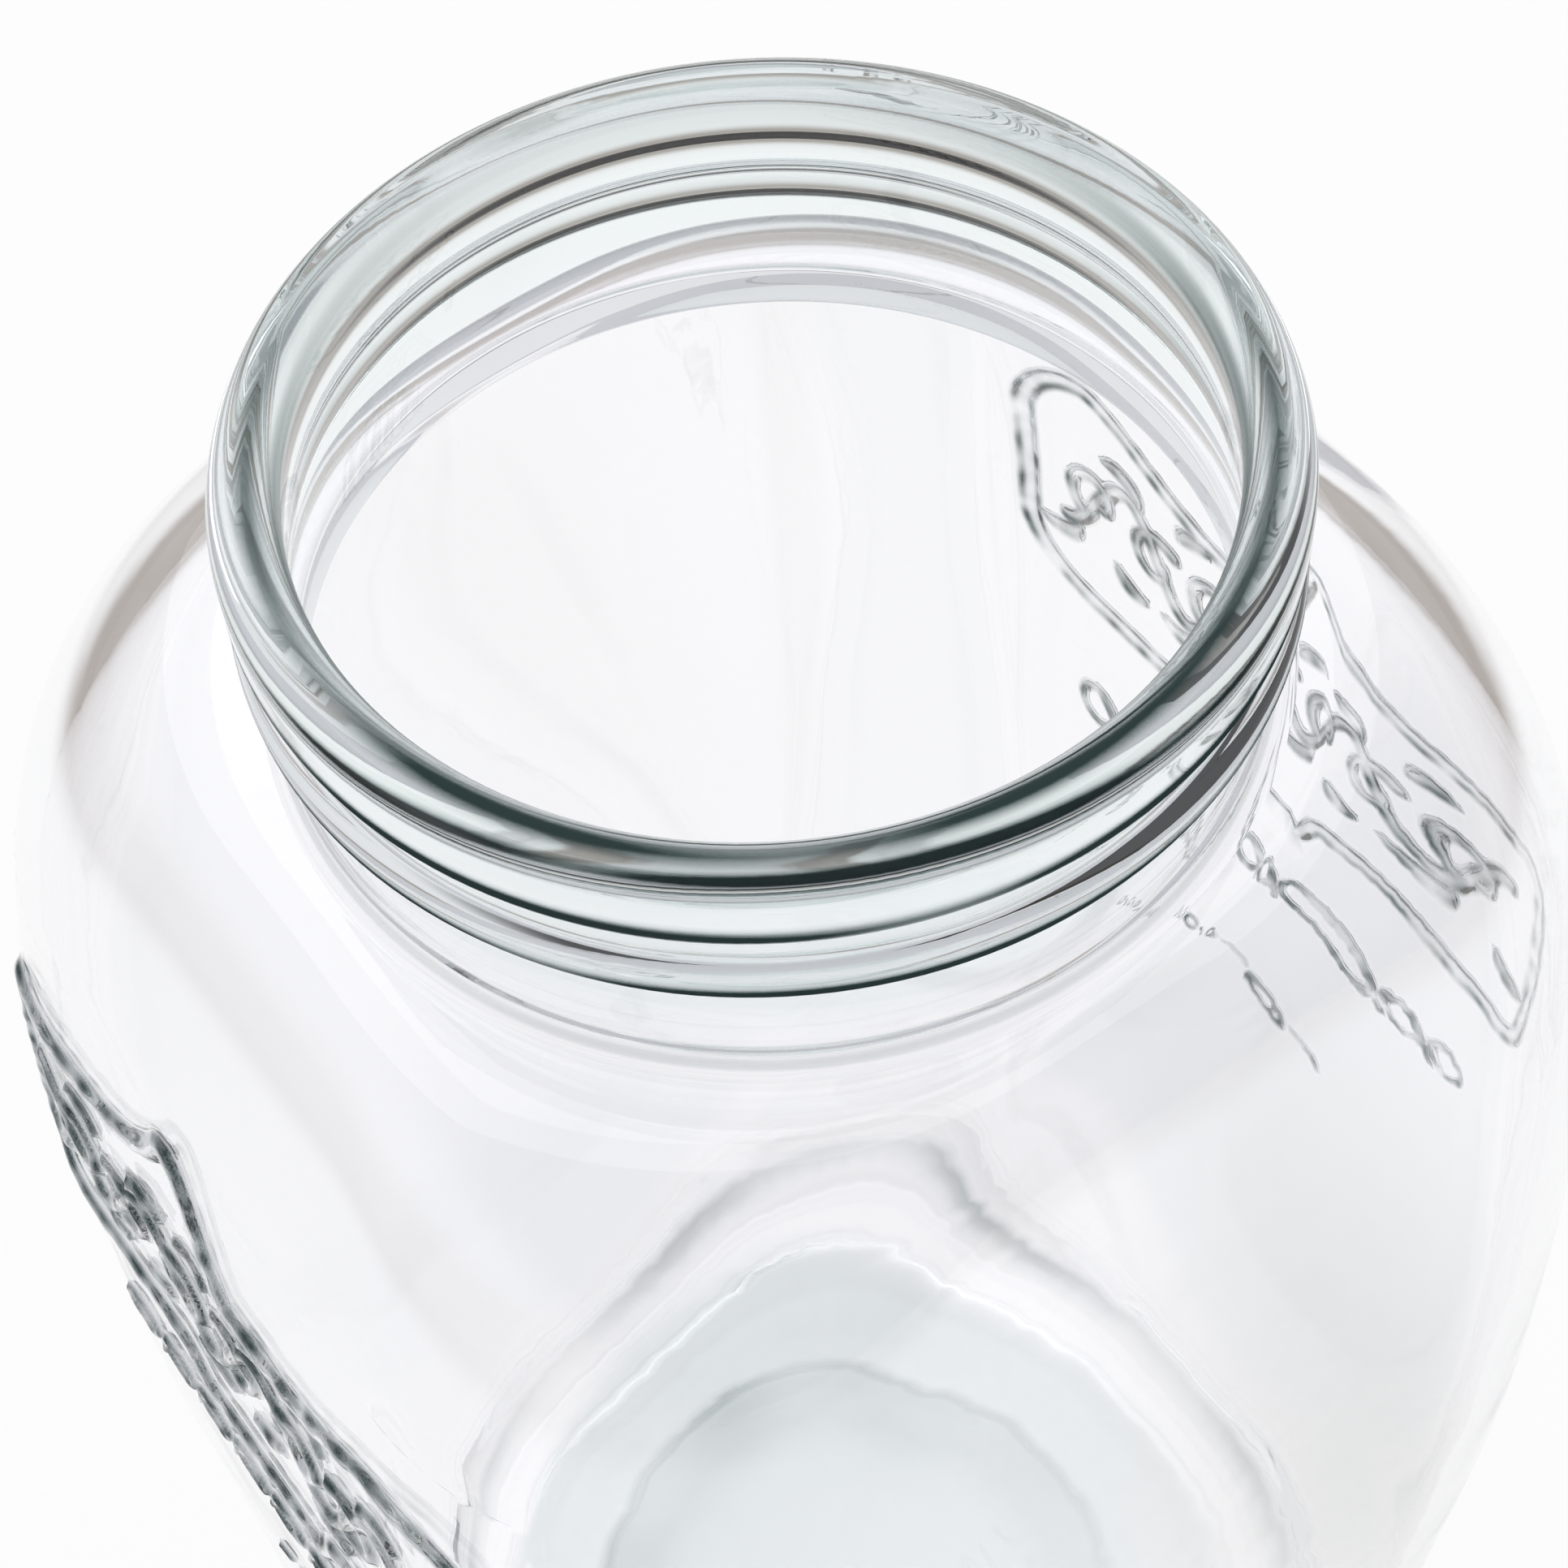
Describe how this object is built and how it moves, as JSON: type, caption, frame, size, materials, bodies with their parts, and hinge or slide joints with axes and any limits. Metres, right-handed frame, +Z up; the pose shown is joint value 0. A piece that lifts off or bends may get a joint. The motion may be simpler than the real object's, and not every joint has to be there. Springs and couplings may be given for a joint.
{
  "type": "glass drink dispenser",
  "caption": "Square-shouldered glass drink dispenser jar with a round beaded mouth, embossed plaques and a cam-lever tap low on the front wall.",
  "frame": {"origin": "centre of the bounding box at the foot of the jar, tap included", "axes": "+Z up along the jar's axis, -Y towards the front wall that carries the tap, +X to the right of someone facing +Y"},
  "size_m": [0.17, 0.2101, 0.345],
  "materials": {
    "clear_glass": "clear pressed glass",
    "pale_plastic": "glossy pale grey plastic",
    "white_plastic": "satin white plastic",
    "clear_silicone": "matte milky silicone",
    "bright_steel": "bright drawn steel"
  },
  "bodies": {
    "jar_and_tap": {"jar": "clear_glass", "tap_body": "pale_plastic", "outer_gasket": "clear_silicone", "inner_gasket": "clear_silicone", "clamp_washer": "white_plastic", "lock_nut": "white_plastic", "bonnet": "pale_plastic", "return_spring": "bright_steel"},
    "valve": {"valve_stem": "white_plastic", "seal_cup": "clear_silicone"},
    "tap_lever": {"lever": "pale_plastic", "hinge_pin": "bright_steel"}
  },
  "joints": [
    {"name": "stem_lift", "type": "slide", "parent": "jar_and_tap", "child": "valve", "axis": [0, 0, 1], "range_m": [0, 0.0036], "deforming": ["return_spring"]},
    {"name": "lever_tilt", "type": "hinge", "parent": "valve", "child": "tap_lever", "pos_m": [0, -0.0927, 0.0628], "axis": [1, 0, 0], "range_deg": [0, 50], "stiffness_Nm_per_rad": 0.0096, "springref_deg": -85.94}
  ],
  "couplings": [
    {"joint": "stem_lift", "follows": "lever_tilt", "m_per_rad": 0.004}
  ]
}
